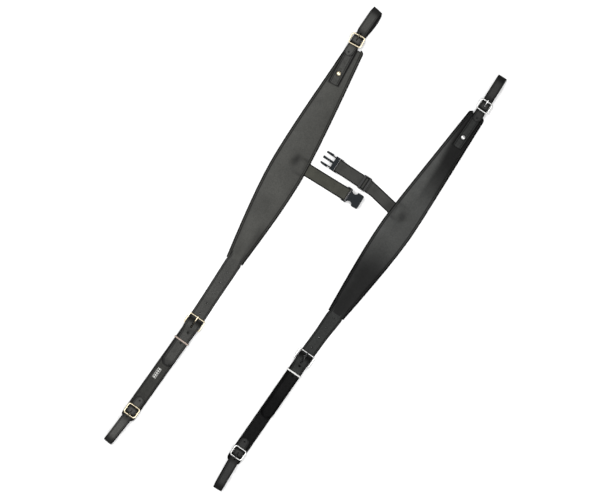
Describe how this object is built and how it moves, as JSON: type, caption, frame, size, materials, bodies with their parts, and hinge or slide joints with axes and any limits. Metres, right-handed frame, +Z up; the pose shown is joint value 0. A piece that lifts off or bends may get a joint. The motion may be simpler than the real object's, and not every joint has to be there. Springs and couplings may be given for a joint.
{
  "type": "accordion shoulder strap pair",
  "caption": "Pair of padded leather shoulder straps for an accordion, with buckled bracket loops and a webbing cross strap with side-release buckle.",
  "frame": {"origin": "middle of the footprint of the two straps, on the surface they lie on", "axes": "+Y up along the straps, +X across from the left strap to the right one, +Z up away from the surface"},
  "size_m": [0.3016, 0.9766, 0.0112],
  "materials": {
    "left_leather": "smooth semi-gloss",
    "right_leather": "smooth semi-gloss",
    "edge_leather": "rolled and dyed",
    "pad_lining": "matt suede",
    "foam": "open foam",
    "brass_tone": "polished pale",
    "nickel": "polished",
    "left_webbing": "woven",
    "right_webbing": "woven",
    "black_plastic": "satin moulded",
    "foil": "blocked foil, satin"
  },
  "bodies": {
    "left_strap": {"left_pad_lining": "pad_lining", "left_pad_foam": "foam", "left_pad_face": "left_leather", "left_pad_binding": "edge_leather", "left_billet_strap": "left_leather", "left_top_tab": "left_leather", "left_rivet_cap": "brass_tone", "left_rivet_base": "brass_tone", "left_top_buckle_frame": "brass_tone", "left_top_loop": "left_leather", "left_large_buckle_frame": "brass_tone", "left_webbing_anchor": "left_webbing"},
    "left_top_prong": {"left_top_buckle_prong": "brass_tone"},
    "left_large_prong": {"left_large_buckle_prong": "brass_tone"},
    "left_lower": {"left_lower_strap": "left_leather", "left_billet_tail": "left_leather", "left_bottom_chape": "left_leather", "left_bottom_buckle_frame": "brass_tone", "left_bottom_loop": "left_leather", "left_foil_mark": "foil"},
    "left_keeper_band": {"left_keeper": "brass_tone"},
    "left_bottom_prong": {"left_bottom_buckle_prong": "brass_tone"},
    "left_cross_webbing": {"left_webbing": "left_webbing"},
    "right_strap": {"right_pad_lining": "pad_lining", "right_pad_foam": "foam", "right_pad_face": "right_leather", "right_pad_binding": "edge_leather", "right_billet_strap": "right_leather", "right_top_tab": "right_leather", "right_rivet_cap": "nickel", "right_rivet_base": "nickel", "right_top_buckle_frame": "nickel", "right_top_loop": "right_leather", "right_large_buckle_frame": "nickel", "right_webbing_anchor": "right_webbing"},
    "right_top_prong": {"right_top_buckle_prong": "nickel"},
    "right_large_prong": {"right_large_buckle_prong": "nickel"},
    "right_lower": {"right_lower_strap": "right_leather", "right_billet_tail": "right_leather", "right_bottom_chape": "right_leather", "right_bottom_buckle_frame": "nickel", "right_bottom_loop": "right_leather"},
    "right_keeper_band": {"right_keeper": "nickel"},
    "right_bottom_prong": {"right_bottom_buckle_prong": "nickel"},
    "right_cross_webbing": {"right_webbing": "right_webbing"},
    "female_half": {"female_buckle": "black_plastic"},
    "male_half": {"male_buckle": "black_plastic"},
    "upper_latch": {"upper_latch_arm": "black_plastic"},
    "lower_latch": {"lower_latch_arm": "black_plastic"},
    "slider": {"tri_glide": "black_plastic"}
  },
  "joints": [
    {"name": "right_strap_spacing", "type": "slide", "parent": "left_strap", "child": "right_strap", "axis": [1, 0, 0], "range_m": [0, 0.08]},
    {"name": "left_top_prong_lift", "type": "hinge", "parent": "left_strap", "child": "left_top_prong", "pos_m": [-0.1365, 0.395, 0.00635], "axis": [0.9962, 0.0872, 0], "range_deg": [0, 35]},
    {"name": "left_large_prong_lift", "type": "hinge", "parent": "left_strap", "child": "left_large_prong", "pos_m": [-0.101, -0.221, 0.0036], "axis": [0.9994, -0.0349, 0], "range_deg": [0, 30]},
    {"name": "left_lower_strap_fold", "type": "hinge", "parent": "left_strap", "child": "left_lower", "pos_m": [-0.101, -0.221, 0.0036], "axis": [-0.9994, 0.0349, 0], "range_deg": [0, 50]},
    {"name": "left_keeper_slide", "type": "slide", "parent": "left_lower", "child": "left_keeper_band", "axis": [-0.0349, -0.9994, 0], "range_m": [-0.006, 0.06]},
    {"name": "left_bottom_prong_lift", "type": "hinge", "parent": "left_lower", "child": "left_bottom_prong", "pos_m": [-0.1077, -0.41288, 0.00635], "axis": [-0.9994, 0.0349, 0], "range_deg": [0, 35]},
    {"name": "right_top_prong_lift", "type": "hinge", "parent": "right_strap", "child": "right_top_prong", "pos_m": [0.1305, 0.423, 0.00635], "axis": [0.9998, -0.0175, 0], "range_deg": [0, 35]},
    {"name": "right_large_prong_lift", "type": "hinge", "parent": "right_strap", "child": "right_large_prong", "pos_m": [0.1069, -0.16385, 0.0036], "axis": [0.9997, -0.0262, 0], "range_deg": [0, 30]},
    {"name": "right_lower_strap_fold", "type": "hinge", "parent": "right_strap", "child": "right_lower", "pos_m": [0.1069, -0.16385, 0.0036], "axis": [-0.9997, 0.0262, 0], "range_deg": [0, 50]},
    {"name": "right_keeper_slide", "type": "slide", "parent": "right_lower", "child": "right_keeper_band", "axis": [-0.0262, -0.9997, 0], "range_m": [-0.006, 0.06]},
    {"name": "right_bottom_prong_lift", "type": "hinge", "parent": "right_lower", "child": "right_bottom_prong", "pos_m": [0.10151, -0.36978, 0.00635], "axis": [-0.9997, 0.0262, 0], "range_deg": [0, 35]},
    {"name": "left_webbing_lift", "type": "hinge", "parent": "left_strap", "child": "left_cross_webbing", "pos_m": [-0.0785, 0.142, 0.00185], "axis": [0.0262, -0.9997, 0], "range_deg": [0, 90]},
    {"name": "female_buckle_tilt", "type": "hinge", "parent": "left_cross_webbing", "child": "female_half", "pos_m": [0.00427, 0.14417, 0.005], "axis": [0.0262, -0.9997, 0], "range_deg": [0, 80]},
    {"name": "right_webbing_lift", "type": "hinge", "parent": "right_strap", "child": "right_cross_webbing", "pos_m": [0.0874, 0.1705, 0.00185], "axis": [0.0523, 0.9986, 0], "range_deg": [0, 90]},
    {"name": "male_buckle_tilt", "type": "hinge", "parent": "right_cross_webbing", "child": "male_half", "pos_m": [-0.035, 0.18, 0.005], "axis": [0, 1, 0], "range_deg": [0, 80]},
    {"name": "tri_glide_slide", "type": "slide", "parent": "right_cross_webbing", "child": "slider", "axis": [-1, 0, 0], "range_m": [-0.003, 0.022]},
    {"name": "upper_latch_flex", "type": "hinge", "parent": "male_half", "child": "upper_latch", "pos_m": [-0.047, 0.1904, 0.005], "axis": [0, 0, 1], "range_deg": [0, 9], "stiffness_Nm_per_rad": 0.3},
    {"name": "lower_latch_flex", "type": "hinge", "parent": "male_half", "child": "lower_latch", "pos_m": [-0.047, 0.1696, 0.005], "axis": [0, 0, -1], "range_deg": [0, 9], "stiffness_Nm_per_rad": 0.3}
  ]
}
